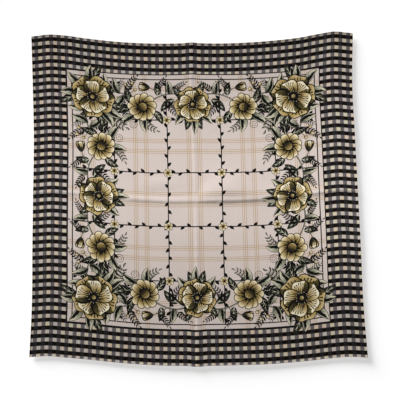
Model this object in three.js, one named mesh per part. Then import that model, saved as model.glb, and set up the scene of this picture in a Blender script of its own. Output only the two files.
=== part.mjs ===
// A square printed silk scarf with rolled hems, opened out and lying face up on a flat surface.
// Its cross threads sag between the two places near the far corners that it was last held by, the
// whole square leans a little to one side, and two soft creases show where it was stored folded.
// It is one piece of cloth, so it is one solid: the rolled hem is a thicker bead along its edge.
// Millimetres, +Z up. The origin is on the surface under the middle of the scarf's outline, with
// +X towards the scarf's right edge and +Y towards its far edge.
import * as THREE from "three";

// The cut square, and the cloth's thickness in its middle and in its hem.
const SIDE = 900;
const CLOTH_THICKNESS = 1;
const HEM_WIDTH = 4;
const HEM_THICKNESS = 2.2;
const HEM_CROWN_INSET = 1.4;
const HEM_LIP_THICKNESS = 1.2;

// How the threads lie in the plane. Crosswise threads rise and fall along their length, by the
// first table at the far and the near edge, and lengthwise threads shift sideways, by the second
// table at the left and the right edge. In between, the two edges are mixed evenly.
const CROSS_THREADS = [
  { at: -450, far: 9, near: 8 },
  { at: -400, far: 14, near: 11 },
  { at: -350, far: 11, near: 7 },
  { at: -300, far: 3, near: 3 },
  { at: -200, far: -9, near: -7 },
  { at: -100, far: -15, near: -13 },
  { at: 0, far: -15, near: -14 },
  { at: 100, far: -16, near: -12 },
  { at: 200, far: -11, near: -8 },
  { at: 300, far: -1, near: 1 },
  { at: 350, far: 8, near: 7 },
  { at: 400, far: 14, near: 11 },
  { at: 450, far: 8, near: 9 },
];
const LENGTH_THREADS = [
  { at: -450, left: 13, right: 12 },
  { at: -300, left: 14, right: 3 },
  { at: -150, left: 10, right: -1 },
  { at: 0, left: 7, right: -6 },
  { at: 150, left: 4, right: -11 },
  { at: 300, left: -4, right: -16 },
  { at: 450, left: -13, right: -12 },
];

// How high the crosswise crease stands along the scarf's width, how far its crest runs from the
// middle line, and how far from the crest it dies out on its far side. The near side is steep.
const CROSS_CREASE = [
  { at: -450, height: 3.2, crest: 0, farReach: 15 },
  { at: -300, height: 2, crest: 1, farReach: 15 },
  { at: -150, height: 2.7, crest: 1, farReach: 16 },
  { at: -60, height: 2.7, crest: 0, farReach: 16 },
  { at: 0, height: 3, crest: 0, farReach: 25 },
  { at: 60, height: 6, crest: 1, farReach: 80 },
  { at: 150, height: 5.5, crest: 1, farReach: 80 },
  { at: 260, height: 4, crest: 1, farReach: 30 },
  { at: 450, height: 3.2, crest: 1, farReach: 15 },
];
const CROSS_CREASE_NEAR_REACH = 9;

// How high the lengthwise crease stands along the scarf's length, and how far its crest runs from
// the middle line. Its left side is the steeper one.
const LENGTH_CREASE = [
  { at: -450, height: 2.5, crest: 0 },
  { at: -300, height: 1.2, crest: 2 },
  { at: -150, height: 1.2, crest: 3 },
  { at: 0, height: 1, crest: 4 },
  { at: 100, height: 1, crest: 2 },
  { at: 300, height: 1, crest: 0 },
  { at: 450, height: 2, crest: 0 },
];
const LENGTH_CREASE_LEFT_REACH = 6;
const LENGTH_CREASE_RIGHT_REACH = 12;

// At the lengthwise crease both edges are drawn outwards a little.
const CREASE_FAR_PULL = 2;
const CREASE_NEAR_PULL = 2.5;
const CREASE_PULL_REACH = 30;

// Soft swells lie beside the crosswise crease, one on either side of the middle.
const SWELLS = [
  { across: -100, along: 46, halfLength: 75, farReach: 20, nearReach: 20, height: 2 },
  { across: 95, along: 32, halfLength: 90, farReach: 100, nearReach: 26, height: 4 },
];

// How far each edge has sprung up off the surface, along its length, and how wide the sprung strip
// is. The near and right edges stand up most.
const EDGE_LIFT = [
  { at: -450, near: 8, far: 2, left: 1, right: 7 },
  { at: -225, near: 9, far: 2, left: 2, right: 11 },
  { at: 0, near: 11, far: 4, left: 1.5, right: 10 },
  { at: 225, near: 10, far: 2, left: 2, right: 11 },
  { at: 450, near: 6, far: 2, left: 2, right: 9 },
];
const NEAR_RIGHT_STRIP = 210;
const FAR_LEFT_STRIP = 40;

// Two soft rolls run down from where the far edge was held.
const ROLL_PLACES = [-400, 398];
const ROLL_REACH = 32;
const ROLL_FAR_HEIGHT = 2.5;
const ROLL_NEAR_HEIGHT = 1;

// The mesh's rows are close together at the creases and the hem, and even in between.
const CREASE_ROWS = [0, 3, 6, 9, 14, 20];
const PANEL_STEPS = 17;
const HALF = SIDE / 2;
const HEM_ROWS = [HALF - HEM_CROWN_INSET, HALF];

const SILK_COLOUR = 0xd9c8bc;
const SILK_ROUGHNESS = 0.55;

// A smooth curve through one column of a table, read at any place between its first and last row.
function readTable(table, column, place) {
  const last = table.length - 1;
  let row = 0;
  while (row < last - 1 && place > table[row + 1].at) row += 1;
  const slope = (index) => {
    const before = table[Math.max(index - 1, 0)];
    const after = table[Math.min(index + 1, last)];
    return (after[column] - before[column]) / (after.at - before.at);
  };
  const start = table[row];
  const end = table[row + 1];
  const span = end.at - start.at;
  const t = (place - start.at) / span;
  const startPart = (1 + 2 * t) * (1 - t) ** 2 * start[column] + t * (1 - t) ** 2 * span * slope(row);
  const endPart = t ** 2 * (3 - 2 * t) * end[column] + t ** 2 * (t - 1) * span * slope(row + 1);
  return startPart + endPart;
}

// A soft ridge: 1 on its line, and 0 from its reach on.
function ridge(distance, reach) {
  const t = Math.min(Math.abs(distance) / reach, 1);
  return (1 - t ** 2) ** 2;
}

// A sprung edge: 1 at the edge, falling to 0 over the width of its strip.
function sprung(distance, strip) {
  return (1 - Math.min(distance / strip, 1)) ** 2;
}

// How high the cloth's underside is above the surface, at a place on the cut square.
function underside(across, along) {
  const fromCrest = along - readTable(CROSS_CREASE, "crest", across);
  const farReach = readTable(CROSS_CREASE, "farReach", across);
  const crossReach = fromCrest > 0 ? farReach : CROSS_CREASE_NEAR_REACH;
  const crossCrease = readTable(CROSS_CREASE, "height", across) * ridge(fromCrest, crossReach);
  const besideCrest = across - readTable(LENGTH_CREASE, "crest", along);
  const lengthReach = besideCrest < 0 ? LENGTH_CREASE_LEFT_REACH : LENGTH_CREASE_RIGHT_REACH;
  const lengthCrease = readTable(LENGTH_CREASE, "height", along) * ridge(besideCrest, lengthReach);
  const near = readTable(EDGE_LIFT, "near", across) * sprung(along + HALF, NEAR_RIGHT_STRIP);
  const far = readTable(EDGE_LIFT, "far", across) * sprung(HALF - along, FAR_LEFT_STRIP);
  const left = readTable(EDGE_LIFT, "left", along) * sprung(across + HALF, FAR_LEFT_STRIP);
  const right = readTable(EDGE_LIFT, "right", along) * sprung(HALF - across, NEAR_RIGHT_STRIP);
  const rollHeight = THREE.MathUtils.mapLinear(along, -HALF, HALF, ROLL_NEAR_HEIGHT, ROLL_FAR_HEIGHT);
  const roll = rollHeight * Math.max(...ROLL_PLACES.map((place) => ridge(across - place, ROLL_REACH)));
  const swells = SWELLS.map((swell) => {
    const reach = along > swell.along ? swell.farReach : swell.nearReach;
    const length = ridge(across - swell.across, swell.halfLength);
    return swell.height * length * ridge(along - swell.along, reach);
  });
  const crease = Math.max(crossCrease, lengthCrease);
  return crease + near + far + left + right + roll + Math.max(...swells);
}

// The cloth's thickness: a rolled bead along the edge, and even everywhere else.
function thickness(across, along) {
  const inset = HALF - Math.max(Math.abs(across), Math.abs(along));
  if (inset >= HEM_WIDTH) return CLOTH_THICKNESS;
  if (inset <= HEM_CROWN_INSET) {
    return THREE.MathUtils.mapLinear(inset, 0, HEM_CROWN_INSET, HEM_LIP_THICKNESS, HEM_THICKNESS);
  }
  return THREE.MathUtils.mapLinear(inset, HEM_CROWN_INSET, HEM_WIDTH, HEM_THICKNESS, CLOTH_THICKNESS);
}

// Where a place on the cut square lies on the surface, seen from above.
function layOut(across, along) {
  const towardsFar = (along + HALF) / SIDE;
  const towardsRight = (across + HALF) / SIDE;
  const rise = THREE.MathUtils.lerp(
    readTable(CROSS_THREADS, "near", across),
    readTable(CROSS_THREADS, "far", across),
    towardsFar,
  );
  const shift = THREE.MathUtils.lerp(
    readTable(LENGTH_THREADS, "left", along),
    readTable(LENGTH_THREADS, "right", along),
    towardsRight,
  );
  const edgePull = THREE.MathUtils.lerp(-CREASE_NEAR_PULL, CREASE_FAR_PULL, towardsFar);
  const pull = edgePull * ridge(across, CREASE_PULL_REACH);
  return { x: across + shift, y: along + rise + pull };
}

// The places of the mesh's rows, from one edge of the cut square to the other.
function rowPlaces() {
  const creaseEnd = CREASE_ROWS[CREASE_ROWS.length - 1];
  const hemStart = HALF - HEM_WIDTH;
  const oneSide = [...CREASE_ROWS];
  for (let step = 1; step <= PANEL_STEPS; step += 1) {
    oneSide.push(THREE.MathUtils.lerp(creaseEnd, hemStart, step / PANEL_STEPS));
  }
  oneSide.push(...HEM_ROWS);
  const otherSide = oneSide.slice(1).map((place) => -place);
  return [...otherSide.reverse(), ...oneSide];
}

// A flat box with the mesh's rows, each point of which is moved to where the cloth lies.
function makeCloth() {
  const rows = rowPlaces();
  const steps = rows.length - 1;
  const geometry = new THREE.BoxGeometry(1, 1, 1, steps, steps, 1);
  const points = geometry.getAttribute("position");
  for (let index = 0; index < points.count; index += 1) {
    const across = rows[Math.round((points.getX(index) + 0.5) * steps)];
    const along = rows[Math.round((points.getY(index) + 0.5) * steps)];
    const place = layOut(across, along);
    const onTop = points.getZ(index) > 0;
    const height = underside(across, along) + (onTop ? thickness(across, along) : 0);
    points.setXYZ(index, place.x, place.y, height);
  }
  geometry.computeBoundingBox();
  const middle = geometry.boundingBox.getCenter(new THREE.Vector3());
  geometry.translate(-middle.x, -middle.y, 0);
  geometry.computeVertexNormals();
  return geometry;
}

const silk = new THREE.MeshStandardMaterial({
  color: SILK_COLOUR,
  roughness: SILK_ROUGHNESS,
  metalness: 0,
});

const scarf = new THREE.Group();
const cloth = new THREE.Mesh(makeCloth(), silk);
cloth.name = "scarf_cloth";
scarf.add(cloth);

export default scarf;
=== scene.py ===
import math
import random
from collections import namedtuple

import bpy
import numpy as np
from mathutils import Matrix, Vector, geometry


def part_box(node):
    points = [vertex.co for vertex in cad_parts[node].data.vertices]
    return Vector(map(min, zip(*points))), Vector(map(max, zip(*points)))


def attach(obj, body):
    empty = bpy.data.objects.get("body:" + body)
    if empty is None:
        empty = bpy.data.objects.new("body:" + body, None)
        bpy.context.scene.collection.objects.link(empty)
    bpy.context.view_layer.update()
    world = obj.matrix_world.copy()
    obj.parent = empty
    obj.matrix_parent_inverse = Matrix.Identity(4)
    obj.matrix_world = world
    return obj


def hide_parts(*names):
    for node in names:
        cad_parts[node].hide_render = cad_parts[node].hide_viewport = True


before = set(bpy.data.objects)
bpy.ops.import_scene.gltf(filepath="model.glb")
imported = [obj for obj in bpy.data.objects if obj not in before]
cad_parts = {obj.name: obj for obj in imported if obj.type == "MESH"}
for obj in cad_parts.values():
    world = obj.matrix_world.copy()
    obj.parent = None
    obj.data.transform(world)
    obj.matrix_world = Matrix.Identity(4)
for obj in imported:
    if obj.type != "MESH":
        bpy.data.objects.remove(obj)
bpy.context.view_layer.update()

MM = 0.001
CAD_CLOTH = "scarf_cloth"

# The cut square and its rolled hem. The hem's profile gives each row of points round the edge: how
# far in from the edge it is, and how far above the cloth's underside.
SIDE = 900
HALF = SIDE / 2
CLOTH_THICKNESS = 0.5
HEM_INNER = 3.2
HEM_PROFILE = ((2.6, 1.1), (1.8, 1.9), (1.0, 2.1), (0.3, 1.7), (0.0, 1.1), (0.3, 0.4),
               (1.0, 0.0), (2.0, 0.0))
HEM_TOP_ROWS = 5


def table(columns, rows):
    """A short table whose columns are read by name."""
    values = np.array(rows, float)
    return {name: values[:, index] for index, name in enumerate(columns)}


# How the cloth lies, in the same tables as the solid's.
CROSS_THREADS = table(("at", "far", "near"), [
    (-450, 9, 8),
    (-400, 14, 11),
    (-350, 11, 7),
    (-300, 3, 3),
    (-200, -9, -7),
    (-100, -15, -13),
    (0, -15, -14),
    (100, -16, -12),
    (200, -11, -8),
    (300, -1, 1),
    (350, 8, 7),
    (400, 14, 11),
    (450, 8, 9),
])
LENGTH_THREADS = table(("at", "left", "right"), [
    (-450, 13, 12),
    (-300, 14, 3),
    (-150, 10, -1),
    (0, 7, -6),
    (150, 4, -11),
    (300, -4, -16),
    (450, -13, -12),
])
CROSS_CREASE = table(("at", "height", "crest", "far_reach"), [
    (-450, 3.2, 0, 15),
    (-300, 2, 1, 15),
    (-150, 2.7, 1, 16),
    (-60, 2.7, 0, 16),
    (0, 3, 0, 25),
    (60, 6, 1, 80),
    (150, 5.5, 1, 80),
    (260, 4, 1, 30),
    (450, 3.2, 1, 15),
])
CROSS_CREASE_NEAR_REACH = 9
LENGTH_CREASE = table(("at", "height", "crest"), [
    (-450, 2.5, 0),
    (-300, 1.2, 2),
    (-150, 1.2, 3),
    (0, 1, 4),
    (100, 1, 2),
    (300, 1, 0),
    (450, 2, 0),
])
LENGTH_CREASE_LEFT_REACH = 6
LENGTH_CREASE_RIGHT_REACH = 12
CREASE_FAR_PULL = 2
CREASE_NEAR_PULL = 2.5
CREASE_PULL_REACH = 30
SWELLS = table(("across", "along", "half_length", "far_reach", "near_reach", "height"), [
    (-100, 46, 75, 20, 20, 2),
    (95, 32, 90, 100, 26, 4),
])
EDGE_LIFT = table(("at", "near", "far", "left", "right"), [
    (-450, 8, 2, 1, 7),
    (-225, 9, 2, 2, 11),
    (0, 11, 4, 1.5, 10),
    (225, 10, 2, 2, 11),
    (450, 6, 2, 2, 9),
])
NEAR_RIGHT_STRIP = 210
FAR_LEFT_STRIP = 40
ROLL_PLACES = (-400, 398)
ROLL_REACH = 32
ROLL_FAR_HEIGHT = 2.5
ROLL_NEAR_HEIGHT = 1


def smooth(t, start, end, slope_in, slope_out):
    """A smooth curve from start to end, with the slopes it has there."""
    from_start = (1 + 2 * t) * (1 - t) ** 2 * start + t * (1 - t) ** 2 * slope_in
    return from_start + t**2 * (3 - 2 * t) * end + t**2 * (t - 1) * slope_out


def read_table(rows, column, places):
    """A smooth curve through one column of a table, read at many places."""
    at, values = rows["at"], rows[column]
    before = np.maximum(np.arange(len(at)) - 1, 0)
    after = np.minimum(np.arange(len(at)) + 1, len(at) - 1)
    slopes = (values[after] - values[before]) / (at[after] - at[before])
    row = np.clip(np.searchsorted(at, places) - 1, 0, len(at) - 2)
    span = at[row + 1] - at[row]
    slope_in, slope_out = span * slopes[row], span * slopes[row + 1]
    return smooth((places - at[row]) / span, values[row], values[row + 1], slope_in, slope_out)


def ridge(distance, reach):
    """1 on a line, and 0 from its reach on."""
    t = np.minimum(np.abs(distance) / reach, 1)
    return (1 - t**2) ** 2


def sprung(distance, strip):
    """1 at an edge, falling to 0 over the width of its strip."""
    return (1 - np.clip(distance / strip, 0, 1)) ** 2


def underside(u, v):
    """How high the cloth's underside is above the floor."""
    from_crest = v - read_table(CROSS_CREASE, "crest", u)
    far_reach = read_table(CROSS_CREASE, "far_reach", u)
    reach = np.where(from_crest > 0, far_reach, CROSS_CREASE_NEAR_REACH)
    cross_crease = read_table(CROSS_CREASE, "height", u) * ridge(from_crest, reach)
    beside_crest = u - read_table(LENGTH_CREASE, "crest", v)
    reach = np.where(beside_crest < 0, LENGTH_CREASE_LEFT_REACH, LENGTH_CREASE_RIGHT_REACH)
    length_crease = read_table(LENGTH_CREASE, "height", v) * ridge(beside_crest, reach)
    near = read_table(EDGE_LIFT, "near", u) * sprung(v + HALF, NEAR_RIGHT_STRIP)
    far = read_table(EDGE_LIFT, "far", u) * sprung(HALF - v, FAR_LEFT_STRIP)
    left = read_table(EDGE_LIFT, "left", v) * sprung(u + HALF, FAR_LEFT_STRIP)
    right = read_table(EDGE_LIFT, "right", v) * sprung(HALF - u, NEAR_RIGHT_STRIP)
    roll_height = np.interp(v, (-HALF, HALF), (ROLL_NEAR_HEIGHT, ROLL_FAR_HEIGHT))
    roll = roll_height * sum(ridge(u - place, ROLL_REACH) for place in ROLL_PLACES)
    beyond = v[..., None] - SWELLS["along"]
    swell_reach = np.where(beyond > 0, SWELLS["far_reach"], SWELLS["near_reach"])
    swell_length = ridge(u[..., None] - SWELLS["across"], SWELLS["half_length"])
    swells = (SWELLS["height"] * swell_length * ridge(beyond, swell_reach)).max(-1)
    edges = near + far + left + right
    return np.maximum(cross_crease, length_crease) + edges + roll + swells


def lay_out(u, v):
    """Where a place on the cut square lies on the floor, seen from above."""
    towards_far = (v + HALF) / SIDE
    towards_right = (u + HALF) / SIDE
    rise_near = read_table(CROSS_THREADS, "near", u) * (1 - towards_far)
    rise_far = read_table(CROSS_THREADS, "far", u) * towards_far
    shift_left = read_table(LENGTH_THREADS, "left", v) * (1 - towards_right)
    shift_right = read_table(LENGTH_THREADS, "right", v) * towards_right
    edge_pull = CREASE_FAR_PULL * towards_far - CREASE_NEAR_PULL * (1 - towards_far)
    pull = edge_pull * ridge(u, CREASE_PULL_REACH)
    return u + shift_left + shift_right, v + rise_near + rise_far + pull


# The field was printed a little to the right of the check's middle, and its far side bows outwards.
PRINT_REACH = 356
PRINT_RIGHT = 2.5
PRINT_NEAR = 3
PRINT_FAR = -4
PRINT_FAR_BOW = 8


def far_shift(x):
    return PRINT_FAR + PRINT_FAR_BOW * (1 - (x / PRINT_REACH) ** 2)


def to_cloth(x, y):
    """Where a place of the drawn design is printed on the cloth."""
    share = (y + PRINT_REACH) / (2 * PRINT_REACH)
    return x + PRINT_RIGHT, y + PRINT_NEAR * (1 - share) + far_shift(x) * share


def to_design(u, v):
    """Which place of the drawn design is printed at a place on the cloth."""
    x = u - PRINT_RIGHT
    gain = far_shift(x) - PRINT_NEAR
    return x, (v - PRINT_NEAR - gain / 2) / (1 + gain / (2 * PRINT_REACH))


# Inks, as sRGB bytes.
INK = (16, 14, 13)
CREAM = (230, 219, 190)
STRAW = (206, 188, 146)
GOLD = (174, 150, 94)
OCHRE = (138, 116, 62)
OLIVE = (92, 84, 46)
UMBER = (52, 44, 28)
SAGE = (132, 132, 112)
PALE_SAGE = (184, 181, 160)
MOSS = (76, 78, 60)
PINE = (36, 38, 30)
INKS = (INK, CREAM, STRAW, GOLD, OCHRE, OLIVE, UMBER, SAGE, PALE_SAGE, MOSS, PINE)


def linear(colour):
    """An sRGB colour in bytes as a linear one."""
    part = np.asarray(colour, float) / 255
    return np.where(part <= 0.04045, part / 12.92, ((part + 0.055) / 1.055) ** 2.4)


# A shape of the print. The artwork is a list of them in painting order. Shapes of one plain ink
# have the same look, and fine ones are on the face only.
Shape = namedtuple("Shape", "outline paint look fine")


def turning(degrees):
    """The matrix that turns to the left."""
    c, s = math.cos(math.radians(degrees)), math.sin(math.radians(degrees))
    return np.array([[c, -s], [s, c]])


def unit(vectors):
    return vectors / np.linalg.norm(vectors, axis=1)[:, None]


class Pen(namedtuple("Pen", "artwork matrix place")):
    """Draws into the artwork in a frame of its own: a place, a turn and perhaps a mirroring."""

    def moved(self, place=(0, 0), turn=0, size=1, mirrored=False):
        """A pen placed, turned (in degrees) and scaled within this one's frame."""
        inner = size * turning(turn) @ np.diag([-1 if mirrored else 1, 1])
        return Pen(self.artwork, self.matrix @ inner, self.on_design(place))

    def on_design(self, points):
        return np.asarray(points, float) @ self.matrix.T + self.place

    def fill(self, outline, *colours, start=(0, 0), end=(1, 0), fine=False):
        """One colour all over, or several evenly spaced from start to end."""
        stops = np.array([linear(colour) for colour in colours])
        origin, tip = self.on_design([start, end])
        axis = (tip - origin) / np.sum((tip - origin) ** 2)

        def paint(points):
            t = np.clip((points - origin) @ axis, 0, 1) * (len(stops) - 1)
            return np.stack([np.interp(t, np.arange(len(stops)), part) for part in stops.T], 1)

        shaded = len(colours) > 1
        look = len(INKS) + len(self.artwork) if shaded else INKS.index(colours[0])
        printed = np.stack(to_cloth(*self.on_design(outline).T), 1)
        self.artwork.append(Shape(printed, paint, look, fine))

    def stroke(self, path, widths, colour=INK, fine=False):
        """A line of changing width along a path."""
        shares, stops = np.linspace(0, 1, len(path)), np.linspace(0, 1, len(widths))
        self.fill(ribbon(path, np.interp(shares, stops, widths)), colour, fine=fine)


def side_of(path):
    """The unit vectors to the left of a path."""
    ahead = unit(np.gradient(path, axis=0))
    return np.stack([-ahead[:, 1], ahead[:, 0]], 1)


def ribbon(path, widths):
    """The outline of a band along a path."""
    aside = side_of(path) * np.asarray(widths)[:, None] / 2
    return np.concatenate([path + aside, (path - aside)[::-1]])


def bow(start, end, bend, steps):
    """A curve from start to end that stands off the straight line by bend, to the left."""
    start, end = np.array(start, float), np.array(end, float)
    along = end - start
    middle = (start + end) / 2 + 2 * bend * np.array([-along[1], along[0]]) / np.hypot(*along)
    t = np.linspace(0, 1, steps)[:, None]
    return (1 - t) ** 2 * start + 2 * t * (1 - t) * middle + t**2 * end


def through(points, steps):
    """A smooth curve through points, with steps pieces between each two."""
    points = np.array(points, float)
    ends = np.concatenate([points[:1], points, points[-1:]])
    found = []
    for first, second, third, fourth in zip(ends, ends[1:], ends[2:], ends[3:]):
        for t in np.arange(steps) / steps:
            found.append(smooth(t, second, third, (third - first) / 2, (fourth - second) / 2))
    return np.array(found + [points[-1]])


def round_spot(radius, corners, centre=(0, 0)):
    """A many-sided round outline."""
    angles = np.arange(corners) * 2 * math.pi / corners
    return np.stack([np.cos(angles), np.sin(angles)], 1) * radius + centre


def evenly(path, steps):
    """A path drawn again with evenly spaced points."""
    run = np.concatenate([[0], np.cumsum(np.hypot(*np.diff(path, axis=0).T))])
    places = np.linspace(0, run[-1], steps)
    return np.stack([np.interp(places, run, part) for part in path.T], 1)


# How fast a petal widens from its base, and how fast it closes at its tip.
PETAL_BASE_POWER = 0.62
PETAL_TIP_POWER = 0.34


def petal_side(length, width, dent, steps=11):
    """One side of a petal that starts at 0, 0 and points along x, from its base to its tip."""
    q = (1 - np.cos(np.linspace(0, math.pi, 90))) / 2
    half = q**PETAL_BASE_POWER * (1 - q) ** PETAL_TIP_POWER
    half *= width / 2 / half.max()
    x = q * length
    tip = x > length / 2
    x[tip] -= dent * np.exp(-(half[tip] / (0.2 * width)) ** 2)
    return evenly(np.stack([x, half], 1), steps)


def both_sides(side):
    """A closed outline: one side, and the same side again across the middle line."""
    return np.concatenate([side, (side * (1, -1))[-2:0:-1]])


def grown(outline, amount):
    """An outline moved outwards."""
    ahead = unit(np.roll(outline, -1, 0) - np.roll(outline, 1, 0))
    aside = np.stack([ahead[:, 1], -ahead[:, 0]], 1)
    x, y = outline.T
    turn = np.sum(x * np.roll(y, -1) - np.roll(x, -1) * y)
    return outline + aside * amount * np.sign(turn)


def flames(pen, length, width, dice):
    """Engraved shading at a petal's base: one dark patch that runs out into points."""
    outline = [(0, 0)]
    count = 7
    for index in range(count):
        valley = (index / count - 0.5) * 0.5 * width
        outline.append((length * dice.uniform(0.18, 0.26), valley))
        line = (index + 0.5) / count - 0.5
        reach = length * dice.uniform(0.56, 0.86) * (1 - 0.5 * abs(line))
        outline.append((reach, line * 0.86 * width))
    outline.append((length * 0.18, 0.25 * width))
    pen.fill(outline, INK, fine=True)


def spike(pen, base, tip, width, colour=INK):
    """A short line that runs out into a point."""
    base, tip = np.array(base, float), np.array(tip, float)
    along = (tip - base) / np.hypot(*(tip - base))
    aside = np.array([-along[1], along[0]]) * width / 2
    pen.fill([base + aside, base - aside, tip], colour, fine=True)


BACK_PETAL = (INK, INK, UMBER, OLIVE, OCHRE, GOLD, STRAW)
FRONT_PETAL = (INK, UMBER, OCHRE, GOLD, STRAW, CREAM, CREAM)
BACK_SHADE = (INK, INK, UMBER, OLIVE)
FRONT_SHADE = (INK, INK, UMBER, OLIVE, OCHRE)

# Where a petal's engraved points run in from its tip and out from its base, in its widths.
TIP_LINES = (-0.34, -0.2, -0.06, 0.08, 0.22, 0.36)
BASE_LINES = (-0.27, -0.13, 0.01, 0.15, 0.29)
DAISY_LINES = (-0.26, -0.09, 0.09, 0.26)


def petal(pen, length, width, dice, behind=False):
    """A petal with an inked edge, one shaded side, and engraved points from its base and tip."""
    dent = 0.07 * length if width > 20 else 0
    side = petal_side(length, width, dent)
    outline = both_sides(side)
    dark_side = (1, dice.choice((1, -1)))
    pen.fill(grown(outline, dice.uniform(2.2, 3)), INK)
    pen.fill(outline, *(BACK_PETAL if behind else FRONT_PETAL), end=(length, 0))
    inner_edge = bow(side[-3], (0, 0), dice.uniform(0, 0.08) * length, 6)
    shade = np.concatenate([side[:-2], inner_edge[1:-1]]) * dark_side
    pen.fill(shade, *(BACK_SHADE if behind else FRONT_SHADE), end=(length, 0), fine=True)
    pen.stroke(side[1:-2] * dark_side, (0.6, 0.08 * width, 0.11 * width, 0.6))
    flames(pen, length, width, dice)
    for line in TIP_LINES:
        tip = (length * (0.93 - abs(line) * 0.5), line * width)
        inner = (length * dice.uniform(0.5, 0.68), line * 0.8 * width)
        spike(pen, tip, inner, 0.07 * width)
    for line in BASE_LINES:
        root = (length * dice.uniform(0.3, 0.42), line * 0.8 * width)
        tip = (length * dice.uniform(0.76, 0.9), line * width)
        spike(pen, root, tip, 0.055 * width, UMBER)


def heart(pen, radius, dice):
    """The middle of a flower: a ring of stamens round a domed button."""
    pen.fill(round_spot(radius * 0.72, 14), INK)
    for index in range(12):
        turned = pen.moved(turn=index * 30 + dice.uniform(-6, 6))
        reach = radius * dice.uniform(0.98, 1.25)
        spike(turned, (reach, 0), (radius * 0.4, 0), 1.3)
        turned.fill(round_spot(1.9, 6, (reach, 0)), INK, fine=True)
        turned.fill(round_spot(1.0, 5, (reach, 0)), CREAM, fine=True)
    lit = np.array((-0.4, 0.4)) * radius
    pen.fill(round_spot(radius * 0.42, 10), STRAW, OCHRE, UMBER, start=lit, end=-lit)


def rose(pen, radius, dice):
    """An open flower of five broad petals over five darker ones."""
    turn = dice.uniform(0, 72)
    for ring, reach in enumerate((1, 0.8)):
        for index in range(5):
            angle = turn + 72 * index + 36 * ring + dice.uniform(-5, 5)
            length = radius * reach * dice.uniform(0.94, 1.04)
            width = length * dice.uniform(0.92, 1.02)
            petal(pen.moved(turn=angle), length, width, dice, behind=ring == 0)
    heart(pen, radius * 0.22, dice)


def daisy(pen, radius, dice):
    """An open flower of narrow petals round a wide domed middle."""
    petals = 11
    for index in range(petals):
        length = radius * dice.uniform(0.88, 1.02)
        width = radius * 0.5
        turned = pen.moved(turn=index * 360 / petals + dice.uniform(-4, 4))
        outline = both_sides(petal_side(length, width, dent=0, steps=8))
        turned.fill(grown(outline, 2.2), INK)
        turned.fill(outline, INK, INK, UMBER, OCHRE, GOLD, STRAW, CREAM, end=(length, 0))
        for line in DAISY_LINES:
            spike(turned, (length * 0.3, line * 0.6 * width),
                  (length * dice.uniform(0.7, 0.96), line * 1.3 * width), 3.4)
    lit = np.array((-0.25, 0.25)) * radius
    pen.fill(round_spot(radius * 0.36, 14), INK)
    pen.fill(round_spot(radius * 0.28, 12), STRAW, OCHRE, UMBER, INK, start=lit, end=-lit)
    for ring, count, first in ((0.2, 8, 0.5), (0.1, 4, 0)):
        for index in range(count):
            angle = 2 * math.pi * (index + first) / count
            spot = radius * ring * np.array([math.cos(angle), math.sin(angle)])
            pen.fill(round_spot(1.5, 5, spot), INK, fine=True)


def bud(pen, length, dice):
    """A closed bud that points along x, with two sepals at its base."""
    for turn in (15, -15, 0):
        petal(pen.moved(turn=turn), length, length * 0.42, dice, behind=turn != 0)
    for side in (1, -1):
        pen.stroke(bow((-2, 0), (length * 0.46, side * length * 0.26), -side * 5, 5),
                   (3.2, 4.6, 3.2, 0.4), PINE)


LEAF = (MOSS, SAGE, PALE_SAGE, CREAM)
DARK_LEAF = (INK, PINE, PINE)
LEAF_SHADE = (INK, INK, PINE)


def leaf(pen, start, end, width, bend=4, dark=False):
    """A pointed leaf with an inked edge, one darker half, a midrib and side veins."""
    spine = bow(start, end, bend, 9)
    s = np.linspace(0, 1, len(spine))
    half = np.sin(math.pi * s**0.8) ** 0.85 * width / 2
    aside = side_of(spine) * half[:, None]
    left, right = spine + aside, spine - aside
    outline = np.concatenate([left, right[-2:0:-1]])
    pen.fill(grown(outline, 1.3), INK)
    pen.fill(outline, *(DARK_LEAF if dark else LEAF), start=start, end=end)
    inner = spine - aside * (0.9 if dark else 0.78)
    shade = np.concatenate([spine, inner[-2:0:-1]])
    pen.fill(shade, *LEAF_SHADE, start=start, end=end, fine=dark)
    vein = PALE_SAGE if dark else INK
    for index in (1, 3, 5):
        for side in (left, right):
            tip = spine[index + 2] + (side[index + 2] - spine[index + 2]) * 0.84
            spike(pen, spine[index], tip, 1.8, vein)
    pen.stroke(spine[:-1:2], (2.2, 1.4, 0.5), vein)


def sprig(pen, start, end, bend=5, pairs=6, dark=True):
    """A fine stalk with pairs of small leaves and one at its tip."""
    spine = bow(start, end, bend, pairs + 3)
    pen.stroke(spine, (1.9, 1.5, 0.8))
    ahead = np.gradient(spine, axis=0)
    reach = np.hypot(*(np.array(end, float) - start)) * 0.27
    for index in range(2, len(spine)):
        angle = math.degrees(math.atan2(*ahead[index][::-1]))
        size = reach * (1.1 - 0.55 * index / len(spine))
        for turn in ((48, -48) if index < len(spine) - 1 else (0,)):
            leaflet = pen.moved(spine[index], angle + turn)
            path = bow((0, 0), (size, 0), math.copysign(size * 0.08, turn), 4)
            leaflet.stroke(path, (0.8, size * 0.38, size * 0.32, 0.3))
            if not dark:
                spike(leaflet, (size * 0.3, 0), (size * 0.8, 0), size * 0.16, PALE_SAGE)


def berries(pen, start, end, dice):
    for turn, reach in ((-28, 0.8), (30, 0.86), (0, 1.05)):
        tip = start + reach * turning(turn) @ (np.array(end, float) - start)
        pen.stroke(bow(start, tip, turn * 0.05, 5), (1.8, 1.2))
        size = dice.uniform(5, 6)
        pen.fill(round_spot(size, 11, tip), INK)
        pen.fill(round_spot(size - 1.3, 10, tip), CREAM, GOLD, UMBER,
                 start=tip + (-3, 3), end=tip + (4, -4))


def stem(pen, points, widths=(4.4, 3.4)):
    """A stalk with an inked edge and a lighter middle."""
    path = through(points, 5)
    pen.stroke(path, widths)
    pen.stroke(path, [width * 0.42 for width in widths], SAGE, fine=True)


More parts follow.
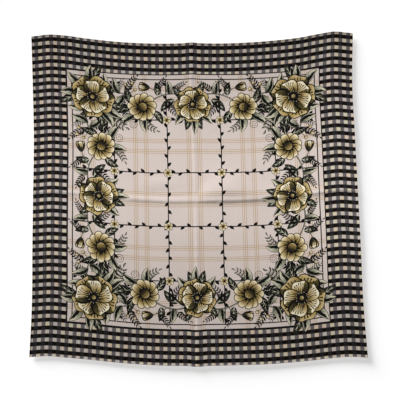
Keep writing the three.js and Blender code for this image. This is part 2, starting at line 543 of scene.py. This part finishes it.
def tendril(pen, start, turn, size, mirrored=False):
    """A fine line that ends in a curl."""
    curl = pen.moved(start, turn, size, mirrored)
    angles = np.linspace(0, 3.6 * math.pi, 22)
    radii = 3 + 11 * (1 - angles / angles[-1])
    path = np.stack([24 + radii * np.sin(angles), 14 - radii * np.cos(angles)], 1)
    curl.stroke(np.concatenate([[(0, -3)], [(12, -1)], path]), (1.6, 1.4, 1.1, 0.9))


# The printed frame: two fine rules round the field.
INNER_RULE = 342
RULE_WIDTH = 3

# The field's lattice of fine leafy lines, and the garland that runs round the frame.
LATTICE_PITCH = 150
LATTICE_PLACES = (-225, -75, 75, 225)
LATTICE_WIDTH = 3
LATTICE_LEAF_STEP = 21
SIDE_FLOWER = (0, 268)
CORNER_FLOWER = (283, 283)
SMALL_FLOWER = (142, 262)


def draw_rules(pen):
    for reach in (PRINT_REACH, INNER_RULE):
        for index in range(4):
            line = bow((-reach - RULE_WIDTH / 2, reach), (reach + RULE_WIDTH / 2, reach), 0, 31)
            pen.moved(turn=90 * index).stroke(line, (RULE_WIDTH, RULE_WIDTH))


def draw_vine(pen, end, dice):
    """Half a lattice line, along x from 0 to its end, with small leaves to either side in turn."""
    path = np.linspace((0, 0), (end, 0), 16)
    path[1:-1, 1] += [dice.uniform(-0.7, 0.7) for _ in range(14)]
    pen.stroke(path, (LATTICE_WIDTH, LATTICE_WIDTH))
    for index, x in enumerate(np.arange(LATTICE_LEAF_STEP / 2, end - 12, LATTICE_LEAF_STEP)):
        side = 1 if index % 2 else -1
        start = x + dice.uniform(-4, 4)
        reach, rise = dice.uniform(10, 13), dice.uniform(8, 11)
        pen.stroke(bow((start, 0), (start + reach, side * rise), -side * 1.5, 7),
                   (1.4, 5, 8, 8.6, 7.4, 4.6, 1))


def draw_lattice(pen, dice):
    """Upright and level leafy lines, and a small flower where they cross."""
    for turn in (0, 90, 180, 270):
        for place in LATTICE_PLACES:
            draw_vine(pen.moved(turn=turn).moved((0, place)), INNER_RULE, dice)
    outline = both_sides(petal_side(11.5, 8, dent=0, steps=6))
    for x in LATTICE_PLACES:
        for y in LATTICE_PLACES:
            small = pen.moved((x, y), dice.uniform(0, 60))
            for index in range(6):
                turned = small.moved(turn=60 * index)
                turned.fill(grown(outline, 1.2), INK)
                turned.fill(outline, UMBER, GOLD, CREAM, end=(10, 0))
            small.fill(round_spot(3, 8), INK)


def draw_leaves(pen, rows):
    """Leaves from a table of where each starts and ends, its width and bend, and 1 if dark."""
    for x, y, tip_x, tip_y, width, bend, dark in rows:
        leaf(pen, (x, y), (tip_x, tip_y), width, bend, dark)


# Half a side of the garland: the leaves under its stems, its sprigs (where each starts and ends,
# its bend, and 1 if dark), and the leaves over them.
ARM_UNDER_LEAVES = (
    (52, 284, 90, 250, 20, 4, 1),
    (100, 296, 104, 334, 18, 4, 1),
    (172, 272, 186, 318, 20, -4, 1),
    (176, 256, 224, 240, 20, 5, 1),
    (110, 250, 88, 214, 19, -4, 1),
    (240, 300, 206, 334, 19, 4, 1),
)
ARM_SPRIGS = (
    (60, 300, 20, 332, -4, 1),
    (74, 292, 44, 240, 6, 1),
    (232, 300, 196, 338, 5, 0),
    (112, 312, 76, 348, 4, 1),
    (188, 296, 158, 350, -5, 1),
    (214, 290, 190, 226, -6, 1),
    (150, 245, 104, 196, 8, 0),
)
ARM_OVER_LEAVES = (
    (66, 300, 70, 338, 17, 3, 0),
    (206, 298, 222, 344, 19, -4, 0),
    (196, 294, 222, 262, 19, -4, 0),
    (160, 240, 206, 208, 20, 5, 0),
    (138, 240, 134, 190, 21, 5, 0),
    (254, 300, 250, 354, 21, 4, 0),
    (250, 262, 230, 220, 20, -4, 0),
)
SMALL_FLOWER_RADIUS = 41
BUD_PLACE = (122, 318)
BUD_LENGTH = 28


def draw_arm(pen, dice):
    """Half a side of the garland, from its middle flower towards the corner on the right."""
    draw_leaves(pen, ARM_UNDER_LEAVES)
    stem(pen, [(10, 280), (44, 300), (92, 294), SMALL_FLOWER])
    stem(pen, [SMALL_FLOWER, (182, 292), (226, 302), CORNER_FLOWER])
    stem(pen, [(84, 297), (100, 310), BUD_PLACE], (3, 2.2))
    for x, y, tip_x, tip_y, bend, dark in ARM_SPRIGS:
        sprig(pen, (x, y), (tip_x, tip_y), bend=bend, dark=dark)
    tendril(pen, (170, 236), -120, 0.9)
    tendril(pen, (44, 298), 40, 0.7, mirrored=True)
    berries(pen, (190, 294), (172, 328), dice)
    draw_leaves(pen, ARM_OVER_LEAVES)
    bud(pen.moved(BUD_PLACE, 8), BUD_LENGTH, dice)
    radius = SMALL_FLOWER_RADIUS
    daisy(pen.moved(SMALL_FLOWER, dice.uniform(0, 40)), radius * dice.uniform(0.97, 1.04), dice)


# The leaves round the flower in the middle of each side.
SIDE_LEAVES = (
    (-10, 250, -50, 212, 22, -5, 0),
    (10, 250, 52, 214, 22, 5, 0),
    (-14, 246, -22, 196, 20, 4, 1),
    (14, 246, 24, 198, 20, -4, 1),
    (0, 244, 2, 184, 20, 4, 0),
    (-24, 290, -52, 322, 18, 4, 1),
    (20, 296, 34, 332, 18, 4, 1),
)
SIDE_FLOWER_RADIUS = 52


def draw_side_flower(pen, dice):
    draw_leaves(pen, SIDE_LEAVES)
    rose(pen.moved(SIDE_FLOWER), SIDE_FLOWER_RADIUS * dice.uniform(0.97, 1.03), dice)


# The leaves round a corner's flower, from its middle, with x towards the corner.
CORNER_LEAVES = (
    (-36, 24, -80, 44, 22, 6, 1),
    (-36, -24, -80, -46, 22, -6, 1),
    (-40, 12, -98, 18, 22, 6, 0),
    (-40, -12, -98, -20, 22, -6, 0),
    (30, 34, 48, 84, 21, -4, 1),
    (30, -34, 46, -86, 21, 4, 1),
    (34, 26, 70, 60, 22, -4, 0),
    (34, -26, 68, -62, 22, 4, 0),
    (44, 0, 96, 2, 22, 4, 0),
)
CORNER_FLOWER_RADIUS = 62


def draw_corner_flower(pen, dice):
    corner = pen.moved(CORNER_FLOWER, 45)
    sprig(corner, (-30, 0), (-122, -6), bend=-5, pairs=8, dark=False)
    draw_leaves(corner, CORNER_LEAVES)
    rose(pen.moved(CORNER_FLOWER), CORNER_FLOWER_RADIUS * dice.uniform(0.97, 1.03), dice)


PRINT_SEED = 11


def draw_print():
    """The whole print, in painting order."""
    dice = random.Random(PRINT_SEED)
    pen = Pen([], np.eye(2), (0, 0))
    draw_lattice(pen, dice)
    draw_rules(pen)
    for index in range(4):
        for mirrored in (False, True):
            draw_arm(pen.moved(turn=90 * index, mirrored=mirrored), dice)
    for index in range(4):
        draw_corner_flower(pen.moved(turn=90 * index), dice)
        draw_side_flower(pen.moved(turn=90 * index), dice)
    return pen.artwork


# Where the mesh has rows of its own besides the print's shapes: close together at the creases.
CREASE_ROWS = (0, 3, 6, 9, 12, 16, 20, 25, 30)
STRIP_EDGE = 150
ROW_STEP = 15
LOOP_STEPS = 33

# How far the face's and the back's outlines may stray, and how long an edge may be.
FACE_SLACK = 0.04
BACK_SLACK = 0.15
LONGEST_EDGE = 15
LONGEST_CREASE_EDGE = 3
MERGE_DISTANCE = 0.01
NO_SHAPE = -1

# A fixed shuffle of the points, so that neighbours aren't dropped in the same round.
SHUFFLE_FACTOR = 2654435761
SHUFFLE_SIZE = 1000003


def row_places(end):
    """Places of rows from -end to end, with one on each edge of the back's strips."""
    side = list(CREASE_ROWS)
    for first, last in ((CREASE_ROWS[-1], STRIP_EDGE), (STRIP_EDGE, end)):
        side += list(np.linspace(first, last, math.ceil((last - first) / ROW_STEP) + 1)[1:])
    side = np.array(side)
    return np.concatenate([-side[:0:-1], side])


def edge_loop(reach):
    """Points round a square, with points on the lines where the back is cut into strips."""
    stops = (-reach, -STRIP_EDGE, STRIP_EDGE, reach)
    steps = [np.linspace(a, b, LOOP_STEPS + 1)[:-1] for a, b in zip(stops, stops[1:])]
    places = np.concatenate(steps)
    near = np.stack([places, np.full(len(places), -reach)], 1)
    sides = [near @ np.array([[c, s], [-s, c]]) for c, s in ((1, 0), (0, 1), (-1, 0), (0, -1))]
    return np.concatenate(sides)


def triangulate(points, edges, boundary):
    """Triangles inside a boundary, which is the first points, that keep to the edges. Gives points,
    triangles, and where each boundary point is among the points."""
    points = [Vector(point) for point in points]
    outline = [list(range(boundary))]
    inside_only = 1
    found = geometry.delaunay_2d_cdt(points, edges, outline, inside_only, MERGE_DISTANCE, True)
    owner = {source: index for index, group in enumerate(found[3]) for source in group}
    return np.array(found[0]), np.array(found[2]), [owner[index] for index in range(boundary)]


def inside(outline, places):
    """Which places lie within an outline."""
    x, y = outline.T
    next_x, next_y = np.roll(outline, -1, 0).T
    across, along = places[:, :1], places[:, 1:]
    slope = (next_x - x) / np.where(next_y == y, 1, next_y - y)
    crossed = ((along < y) ^ (along < next_y)) & (across < x + (along - y) * slope)
    return crossed.sum(1) % 2 == 1


def topmost(artwork, shapes, places):
    """The shape painted last at each place."""
    order = np.argsort(places[:, 0])
    x = places[order, 0]
    found = np.full(len(places), NO_SHAPE)
    for shape in shapes:
        outline = artwork[shape].outline
        (left, bottom), (right, top) = outline.min(0), outline.max(0)
        near = order[np.searchsorted(x, left):np.searchsorted(x, right)]
        y = places[near, 1]
        near = near[(y > bottom) & (y < top)]
        found[near[inside(outline, places[near])]] = shape
    return found


def shown_edges(triangles, looks):
    """The edges between triangles that look different."""
    corners = ([0, 1], [1, 2], [2, 0])
    edges = np.sort(np.concatenate([triangles[:, pair] for pair in corners]), axis=1)
    sides = np.tile(looks, 3)
    order = np.lexsort(edges.T)
    edges, sides = edges[order], sides[order]
    twins = (edges[1:] == edges[:-1]).all(1)
    return edges[1:][twins & (sides[1:] != sides[:-1])]


def straightened(points, edges, slack, rounds=6):
    """The edges without the points that lie on a straight stretch, within slack."""
    for _ in range(rounds):
        ends = np.concatenate([edges, edges[:, ::-1]])
        ends = ends[np.argsort(ends[:, 0], kind="stable")]
        count = np.bincount(ends[:, 0], minlength=len(points))
        first = np.searchsorted(ends[:, 0], np.arange(len(points)))
        inner = np.flatnonzero(count == 2)
        before, after = ends[first[inner], 1], ends[first[inner] + 1, 1]
        chord = points[after] - points[before]
        arm = points[inner] - points[before]
        length = np.maximum(np.hypot(*chord.T), 1e-9)
        off = np.abs(chord[:, 0] * arm[:, 1] - chord[:, 1] * arm[:, 0]) / length
        between = (arm * chord).sum(1) / length**2
        spare = (off < slack) & (between > 0) & (between < 1) & (before != after)
        rank = np.zeros(len(points), int)
        rank[inner[spare]] = inner[spare] * SHUFFLE_FACTOR % SHUFFLE_SIZE + 1
        spare &= (rank[inner] > rank[before]) & (rank[inner] > rank[after])
        gone = np.zeros(len(points), bool)
        gone[inner[spare]] = True
        kept = edges[~gone[edges].any(1)]
        joined = np.stack([before[spare], after[spare]], 1)
        edges = np.unique(np.sort(np.concatenate([kept, joined]), axis=1), axis=0)
    return edges


def split_long(points, edges):
    """Points and edges with a point wherever an edge is too long for the cloth's form."""
    places, pairs = list(points), []
    for first, last in edges:
        start, end = points[first], points[last]
        on_crease = min(abs(start + end)) / 2 < CREASE_ROWS[-1]
        longest = LONGEST_CREASE_EDGE if on_crease else LONGEST_EDGE
        parts = math.ceil(np.hypot(*(end - start)) / longest)
        extra = [start + (end - start) * part / parts for part in range(1, parts)]
        chain = [first, *range(len(places), len(places) + len(extra)), last]
        pairs += zip(chain, chain[1:])
        places += extra
    return np.array(places), pairs


def cut_cloth(artwork, shapes, slack):
    """The cloth inside its hem as triangles that keep to the edges that show in the print.
    Gives points, triangles, the topmost shape of each, and the points of the edge loop."""
    loop = edge_loop(HALF - HEM_INNER)
    edges = []
    count = len(loop)
    for shape in shapes:
        corners = count + np.arange(len(artwork[shape].outline))
        edges += zip(corners.tolist(), np.roll(corners, -1).tolist())
        count += len(corners)
    points = np.concatenate([loop] + [artwork[shape].outline for shape in shapes])
    places, triangles, _ = triangulate(points, edges, len(loop))
    top = topmost(artwork, shapes, places[triangles].mean(1))
    looks = np.array([shape.look for shape in artwork] + [NO_SHAPE])[top]

    edges = straightened(places, shown_edges(triangles, looks), slack)
    used, edges = np.unique(edges, return_inverse=True)
    places, edges = split_long(places[used], edges.reshape(-1, 2))
    rows = row_places(HALF - HEM_INNER)
    grid = np.stack(np.meshgrid(rows, rows), -1).reshape(-1, 2)
    first = len(loop) + len(grid)
    edges = [(first + a, first + b) for a, b in edges]
    for place in (-STRIP_EDGE, STRIP_EDGE):
        column = len(loop) + int(np.argmin(abs(rows - place))) + np.arange(len(rows)) * len(rows)
        edges += zip(column.tolist(), column[1:].tolist())
    points = np.concatenate([loop, grid, places])
    places, triangles, owner = triangulate(points, edges, len(loop))
    return places, triangles, topmost(artwork, shapes, places[triangles].mean(1)), owner


def surface_place(u, v, lift):
    """Places in millimetres of points lift above the cloth's underside, before it is centred."""
    x, y = lay_out(u, v)
    return np.stack([x, y, underside(u, v) + lift], 1)


def surface_normals(u, v):
    step = 0.4
    aside = surface_place(u + step, v, 0) - surface_place(u - step, v, 0)
    ahead = surface_place(u, v + step, 0) - surface_place(u, v - step, 0)
    return unit(np.cross(aside, ahead))


# The map that holds the whole cloth for baking: the face as one square, and the back, smaller, as
# three strips beside and above it.
FACE_SPAN = 0.815
BACK_SPAN = 0.49
MAP_MARGIN = 0.005
MAP_SIDE = 0.832
SECOND_STRIP_UP = 0.5


def face_map(u, v):
    return np.stack([u + HALF, v + HALF], 1) / SIDE * FACE_SPAN + MAP_MARGIN


def back_map(u, v, middle):
    """middle is the across place of each triangle's middle, which picks its strip."""
    scale = BACK_SPAN / SIDE
    strip = np.digitize(middle, (-STRIP_EDGE, STRIP_EDGE))
    up = (v + HALF) * scale + MAP_MARGIN
    across = (u + HALF) * scale
    width = 2 * STRIP_EDGE * scale
    first = np.stack([MAP_SIDE + across, up], 1)
    second = np.stack([MAP_SIDE + across - width, up + SECOND_STRIP_UP], 1)
    third = np.stack([up, MAP_SIDE + SIDE * scale - across], 1)
    return np.choose(strip[:, None], (first, second, third))


def over_solid(flat, lift):
    """Places of points of the cut square, moved to lie over the CAD cloth."""
    places = surface_place(*flat.T, lift)
    middle = (places.min(0) + places.max(0)) / 2
    low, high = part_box(CAD_CLOTH)
    places[:, :2] += np.array((low + high) / 2)[:2] / MM - middle[:2]
    return places


def hem_quads(rows):
    """Faces between rows of points round the edge, from the face's last row to the back's."""
    quads = []
    for inner, outer in zip(rows, rows[1:]):
        for index in range(len(inner)):
            after = (index + 1) % len(inner)
            quads.append((inner[after], inner[index], outer[index], outer[after]))
    return quads


def ink_colours(artwork, shapes, design):
    """The ink at every face corner, by its shape and place. Its fourth part is 1 where inked."""
    colours = np.zeros((len(shapes), 4))
    order = np.argsort(shapes, kind="stable")
    limits = np.searchsorted(shapes[order], np.arange(len(artwork) + 1))
    for index, shape in enumerate(artwork):
        chosen = order[limits[index]:limits[index + 1]]
        if len(chosen):
            colours[chosen, :3] = shape.paint(design[chosen])
            colours[chosen, 3] = 1
    return colours


def add_map(mesh, name, places):
    layer = mesh.uv_layers.new(name=name, do_init=False)
    layer.uv.foreach_set("vector", places.astype(np.float32).ravel())


def aim_normals(mesh, face, back):
    """The cloth's own normals on its face and its back, and the mesh's round the hem."""
    mesh.update()
    normals = np.empty(len(mesh.vertices) * 3, np.float32)
    mesh.vertices.foreach_get("normal", normals)
    normals = normals.reshape(-1, 3)
    normals[:len(face)] = surface_normals(*face.T)
    normals[len(face):len(face) + len(back)] = -surface_normals(*back.T)
    mesh.normals_split_custom_set_from_vertices(normals.tolist())


def make_cloth(artwork):
    """One closed mesh: the printed face, the hem's roll round its edge, and the back."""
    every = list(range(len(artwork)))
    main = [index for index in every if not artwork[index].fine]
    face, face_triangles, face_shapes, face_loop = cut_cloth(artwork, every, FACE_SLACK)
    back, back_triangles, back_shapes, back_loop = cut_cloth(artwork, main, BACK_SLACK)
    loop = edge_loop(HALF - HEM_INNER)
    hem_rows = [loop * (HALF - inset) / (HALF - HEM_INNER) for inset, _ in HEM_PROFILE]
    hem_lift = np.repeat([lift for _, lift in HEM_PROFILE], len(loop))

    flat = np.concatenate([face, back, *hem_rows])
    lift = np.concatenate([np.full(len(face), CLOTH_THICKNESS), np.zeros(len(back)), hem_lift])
    hem = np.arange(len(hem_lift)).reshape(-1, len(loop)) + len(face) + len(back)
    back_row = [len(face) + index for index in back_loop]
    quads = hem_quads([face_loop, *hem.tolist(), back_row])
    triangles = np.concatenate([face_triangles, back_triangles[:, ::-1] + len(face)])
    mesh = bpy.data.meshes.new("silk_square")
    mesh.from_pydata(over_solid(flat, lift) * MM, [], triangles.tolist() + quads)
    mesh.polygons.foreach_set("use_smooth", np.ones(len(mesh.polygons), bool))

    corner = np.empty(len(mesh.loops), int)
    mesh.loops.foreach_get("vertex_index", corner)
    corner_flat = flat[corner]
    sizes = np.repeat((3, 4), (len(triangles), len(quads)))
    polygon = np.repeat(np.arange(len(sizes)), sizes)
    middle = np.bincount(polygon, corner_flat[:, 0]) / sizes
    quad_row = np.arange(len(quads)) // len(loop)
    behind = np.concatenate([
        np.zeros(len(face_triangles)),
        np.ones(len(back_triangles)),
        quad_row >= HEM_TOP_ROWS,
    ])[polygon]

    shapes = np.concatenate([face_shapes, back_shapes, np.full(len(quads), NO_SHAPE)])[polygon]
    design = np.stack(to_design(*corner_flat.T), 1)
    colours = ink_colours(artwork, shapes, design)
    layer = mesh.color_attributes.new("print", "FLOAT_COLOR", "CORNER")
    layer.data.foreach_set("color", colours.astype(np.float32).ravel())
    layer = mesh.attributes.new("behind", "FLOAT", "CORNER")
    layer.data.foreach_set("value", behind.astype(np.float32))

    back_place = back_map(*corner_flat.T, middle[polygon])
    bake_place = np.where(behind[:, None] > 0.5, back_place, face_map(*corner_flat.T))
    add_map(mesh, "OFBake", bake_place)
    add_map(mesh, "flat", (corner_flat + HALF) / SIDE)
    add_map(mesh, "design", (design + HALF) / SIDE)
    aim_normals(mesh, face, back)
    return mesh


# Its bars' places, widths and soft edges are in pitches.
BAR_SOFTNESS = 0.02
CHECK_BARS = 42
CHECK_FIRST = 0.6
CHECK_PITCH = SIDE / (CHECK_BARS - 1 + 2 * CHECK_FIRST)
CHECK_ALONG_BAR = 0.5
CHECK_ACROSS_BAR = 0.53
CHECK_LIGHTS = ((199, 192, 164), (206, 182, 160), (185, 177, 171))
CHECK_GREY = (99, 93, 94)
CHECK_DARK = (11, 5, 3)
CHECK_CROSSING = (32, 29, 31)

# The field's ground, and its bands of fine lines: each band is two groups of three.
GROUND = (206, 193, 186)
FINE_LINE = (176, 146, 106)
FINE_PITCH = 5
FINE_WIDTH = 1.5
FINE_GROUP = 15
FINE_GROUP_WIDTH = 13

# How far the back fades to the ground's colour.
BACK_FADE = 0.22

# Soft blotches in the dye: their scales, and how much they lighten the darkest place.
DARKEST = 0.93
BROAD_BLOTCHES = 0.012
BROAD_CHANGE = 0.1
SMALL_BLOTCHES = 0.1
SMALL_CHANGE = 0.08

# The twill's fine slanting ribs, and the silk's gloss.
TWILL_WAVES = {"Scale": 0.45, "Distortion": 0.4}
TWILL_RIBS = {"Strength": 0.12, "Distance": 0.0002}
SILK_GLOSS = {
    "Roughness": 0.62,
    "Specular IOR Level": 0.06,
    "Sheen Weight": 0.01,
    "Sheen Roughness": 0.4,
}


def set_inputs(node, values):
    for name, value in values.items():
        node.inputs[name].default_value = value


def add_object(name, data):
    thing = bpy.data.objects.new(name, data)
    bpy.context.scene.collection.objects.link(thing)
    return thing


class Nodes:
    """Short names for the nodes of one tree."""

    def __init__(self, tree):
        self.tree = tree

    def new(self, kind, **settings):
        node = self.tree.nodes.new(kind)
        for name, value in settings.items():
            setattr(node, name, value)
        return node

    def put(self, value, socket):
        if isinstance(value, bpy.types.NodeSocket):
            self.tree.links.new(value, socket)
        else:
            socket.default_value = value

    def math(self, operation, *values):
        node = self.new("ShaderNodeMath", operation=operation)
        for value, socket in zip(values, node.inputs):
            self.put(value, socket)
        return node.outputs[0]

    def mix(self, share, first, second):
        node = self.new("ShaderNodeMix", data_type="RGBA")
        self.put(share, node.inputs["Factor"])
        for value, socket in ((first, node.inputs[6]), (second, node.inputs[7])):
            self.put(value if isinstance(value, bpy.types.NodeSocket) else rgba(value), socket)
        return node.outputs[2]

    def step(self, value, edge, softness):
        """0 below the edge and 1 above it, softly."""
        node = self.new("ShaderNodeMapRange", interpolation_type="SMOOTHSTEP")
        self.put(value, node.inputs["Value"])
        self.put(edge - softness, node.inputs["From Min"])
        self.put(edge + softness, node.inputs["From Max"])
        return node.outputs["Result"]

    def map_place(self, name):
        """The place in millimetres from one of the mesh's maps: as a vector, and its two parts."""
        scaled = self.new("ShaderNodeVectorMath", operation="MULTIPLY_ADD")
        self.put(self.new("ShaderNodeUVMap", uv_map=name).outputs[0], scaled.inputs[0])
        scaled.inputs[1].default_value = (SIDE, SIDE, 0)
        scaled.inputs[2].default_value = (-HALF, -HALF, 0)
        split = self.new("ShaderNodeSeparateXYZ")
        self.put(scaled.outputs[0], split.inputs[0])
        return scaled.outputs[0], split.outputs[0], split.outputs[1]

    def per_square(self, u, v, first, seed):
        """A number from 0 to 1 that is the same all over one light square of the check."""
        cell = self.new("ShaderNodeCombineXYZ")
        for axis, socket in zip((u, v), cell.inputs):
            turns = self.math("DIVIDE", self.math("SUBTRACT", axis, first), CHECK_PITCH)
            self.put(self.math("FLOOR", turns), socket)
        cell.inputs[2].default_value = seed
        found = self.new("ShaderNodeTexWhiteNoise", noise_dimensions="3D")
        self.put(cell.outputs[0], found.inputs["Vector"])
        return found.outputs["Value"]

    def noise(self, vector, scale, detail=2.0):
        node = self.new("ShaderNodeTexNoise")
        self.put(vector, node.inputs["Vector"])
        set_inputs(node, {"Scale": scale, "Detail": detail})
        return node.outputs["Fac"]


def rgba(colour):
    return (*linear(colour), 1)


def bars(nodes, place, pitch, first, share):
    """1 on evenly spaced bars. first is the place of a bar's middle, share the bar's part."""
    turns = nodes.math("DIVIDE", nodes.math("SUBTRACT", place, first), pitch)
    share_of_turn = nodes.math("FRACT", nodes.math("ADD", turns, 0.5))
    off = nodes.math("ABSOLUTE", nodes.math("SUBTRACT", share_of_turn, 0.5))
    return nodes.math("SUBTRACT", 1.0, nodes.step(off, share / 2, BAR_SOFTNESS))


def border_check(nodes, u, v):
    """Light squares, with grey bars along the cloth and black bars across it."""
    first = -HALF + CHECK_FIRST * CHECK_PITCH
    along_bars = bars(nodes, u, CHECK_PITCH, first, CHECK_ALONG_BAR)
    across_bars = bars(nodes, v, CHECK_PITCH, first, CHECK_ACROSS_BAR)
    light = nodes.mix(nodes.per_square(u, v, first, 1), *CHECK_LIGHTS[:2])
    light = nodes.mix(nodes.per_square(u, v, first, 2), light, CHECK_LIGHTS[2])
    check = nodes.mix(along_bars, light, CHECK_GREY)
    dark = nodes.mix(along_bars, CHECK_DARK, CHECK_CROSSING)
    return nodes.mix(across_bars, check, dark)


def field_ground(nodes, x, y):
    """A pale ground with bands of fine lines both ways."""
    share = FINE_GROUP_WIDTH / LATTICE_PITCH
    lines = []
    for axis in (x, y):
        groups = [bars(nodes, axis, LATTICE_PITCH, side * FINE_GROUP, share) for side in (1, -1)]
        line = bars(nodes, axis, FINE_PITCH, 0, FINE_WIDTH / FINE_PITCH)
        lines.append(nodes.math("MULTIPLY", nodes.math("MAXIMUM", *groups), line))
    return nodes.mix(nodes.math("MAXIMUM", *lines), GROUND, FINE_LINE)


def blotched(nodes, colour, place):
    """A colour with soft blotches, broad ones and small ones."""
    broad = nodes.noise(place, BROAD_BLOTCHES)
    small = nodes.noise(place, SMALL_BLOTCHES, detail=3.0)
    share = nodes.math("MULTIPLY_ADD", broad, BROAD_CHANGE, DARKEST)
    share = nodes.math("MULTIPLY_ADD", small, SMALL_CHANGE, share)
    scaled = nodes.new("ShaderNodeVectorMath", operation="SCALE")
    nodes.put(colour, scaled.inputs[0])
    nodes.put(share, scaled.inputs["Scale"])
    return scaled.outputs[0]


def twill_ribs(nodes, place):
    twill = nodes.new("ShaderNodeTexWave", wave_type="BANDS", bands_direction="DIAGONAL")
    nodes.put(place, twill.inputs["Vector"])
    set_inputs(twill, TWILL_WAVES)
    ribs = nodes.new("ShaderNodeBump")
    set_inputs(ribs, TWILL_RIBS)
    nodes.put(twill.outputs["Fac"], ribs.inputs["Height"])
    return ribs.outputs[0]


def make_silk():
    material = bpy.data.materials.new("printed_silk_twill")
    material.use_nodes = True
    tree = material.node_tree
    tree.nodes.clear()
    nodes = Nodes(tree)
    place, u, v = nodes.map_place("flat")
    _, x, y = nodes.map_place("design")
    reach = nodes.math("MAXIMUM", nodes.math("ABSOLUTE", x), nodes.math("ABSOLUTE", y))
    in_border = nodes.math("GREATER_THAN", reach, float(PRINT_REACH))
    cloth = nodes.mix(in_border, field_ground(nodes, x, y), border_check(nodes, u, v))
    ink = nodes.new("ShaderNodeAttribute", attribute_name="print")
    printed = nodes.mix(ink.outputs["Alpha"], cloth, ink.outputs["Color"])
    behind = nodes.new("ShaderNodeAttribute", attribute_name="behind").outputs["Fac"]
    paler = nodes.mix(nodes.math("MULTIPLY", behind, BACK_FADE), printed, GROUND)

    shader = nodes.new("ShaderNodeBsdfPrincipled")
    nodes.put(blotched(nodes, paler, place), shader.inputs["Base Color"])
    nodes.put(twill_ribs(nodes, place), shader.inputs["Normal"])
    set_inputs(shader, SILK_GLOSS)
    output = nodes.new("ShaderNodeOutputMaterial")
    tree.links.new(shader.outputs[0], output.inputs["Surface"])
    return material


FLOOR_REACH = 6
FLOOR_FINISH = {
    "Base Color": (0.97, 0.97, 0.97, 1),
    "Roughness": 0.9,
    "Specular IOR Level": 0.0,
    "Emission Color": (1, 1, 1, 1),
    "Emission Strength": 0.545,
}


def make_floor():
    """A plain pale floor, with a glow of its own that keeps it as white as the photo's backdrop."""
    mesh = bpy.data.meshes.new("floor")
    turns = ((-1, -1), (1, -1), (1, 1), (-1, 1))
    corners = [(x * FLOOR_REACH, y * FLOOR_REACH, 0) for x, y in turns]
    mesh.from_pydata(corners, [], [(0, 1, 2, 3)])
    material = bpy.data.materials.new("pale_floor")
    material.use_nodes = True
    set_inputs(material.node_tree.nodes["Principled BSDF"], FLOOR_FINISH)
    mesh.materials.append(material)
    add_object("floor", mesh)


# A long lamp hangs across the scarf's middle and lights only the scarf, so the light falls off
# towards its far and near edges and the floor stays even. A broad soft light comes from the far
# left, and an even glow from all round. The backdrop beyond the floor is seen as pale as the floor.
LAMP_PLACE = (0, 0.07, 0.46)
LAMP_SIZE = (2.4, 0.3)
LAMP_POWER = 4.3
SUN_AZIMUTH = 130
SUN_ELEVATION = 22
SUN_ANGLE = 38
SUN_STRENGTH = 3.6
GLOW = 0.05
BACKDROP = 1.0


def make_lamp(scarf):
    lamp = bpy.data.lights.new("long_lamp", "AREA")
    lamp.shape = "RECTANGLE"
    lamp.size, lamp.size_y = LAMP_SIZE
    lamp.energy = LAMP_POWER
    hung = add_object("long_lamp", lamp)
    hung.location = LAMP_PLACE
    hung.visible_camera = False
    lit = bpy.data.collections.new("lit_by_long_lamp")
    lit.objects.link(scarf)
    hung.light_linking.receiver_collection = lit


def make_lights():
    sun = bpy.data.lights.new("key_light", "SUN")
    sun.energy = SUN_STRENGTH
    sun.angle = math.radians(SUN_ANGLE)
    lamp = add_object("key_light", sun)
    lamp.rotation_euler = (math.radians(90 - SUN_ELEVATION), 0, math.radians(90 + SUN_AZIMUTH))
    world = bpy.data.worlds.new("soft_glow")
    world.use_nodes = True
    nodes = Nodes(world.node_tree)
    backdrop = world.node_tree.nodes["Background"]
    set_inputs(backdrop, {"Color": (1, 1, 1, 1)})
    strength = nodes.new("ShaderNodeMapRange")
    set_inputs(strength, {"To Min": GLOW, "To Max": BACKDROP})
    nodes.put(nodes.new("ShaderNodeLightPath").outputs["Is Camera Ray"], strength.inputs["Value"])
    nodes.put(strength.outputs["Result"], backdrop.inputs["Strength"])
    bpy.context.scene.world = world


# The photo was taken from above the near edge and a little to the right. The place is in metres
# in the part's frame, and the camera looks down, turned by these angles.
CAMERA_PLACE = (0.1817, -0.7678, 3.5258)
CAMERA_TURNS = (("Y", 2.69), ("X", 12.10), ("Z", 0.41))
SENSOR_WIDTH = 36
CAMERA_LENS = 119.15


def make_camera():
    data = bpy.data.cameras.new("photo_camera")
    data.lens = CAMERA_LENS
    data.sensor_width = SENSOR_WIDTH
    camera = add_object("photo_camera", data)
    placed = Matrix.Translation(CAMERA_PLACE)
    for axis, angle in CAMERA_TURNS:
        placed @= Matrix.Rotation(math.radians(angle), 4, axis)
    camera.matrix_world = placed
    bpy.context.scene.camera = camera


def make_scarf():
    mesh = make_cloth(draw_print())
    mesh.materials.append(make_silk())
    scarf = add_object("silk_scarf", mesh)
    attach(scarf, "root")
    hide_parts(CAD_CLOTH)
    return scarf


make_camera()
make_lights()
make_floor()
make_lamp(make_scarf())
bpy.context.scene.view_settings.view_transform = "Standard"
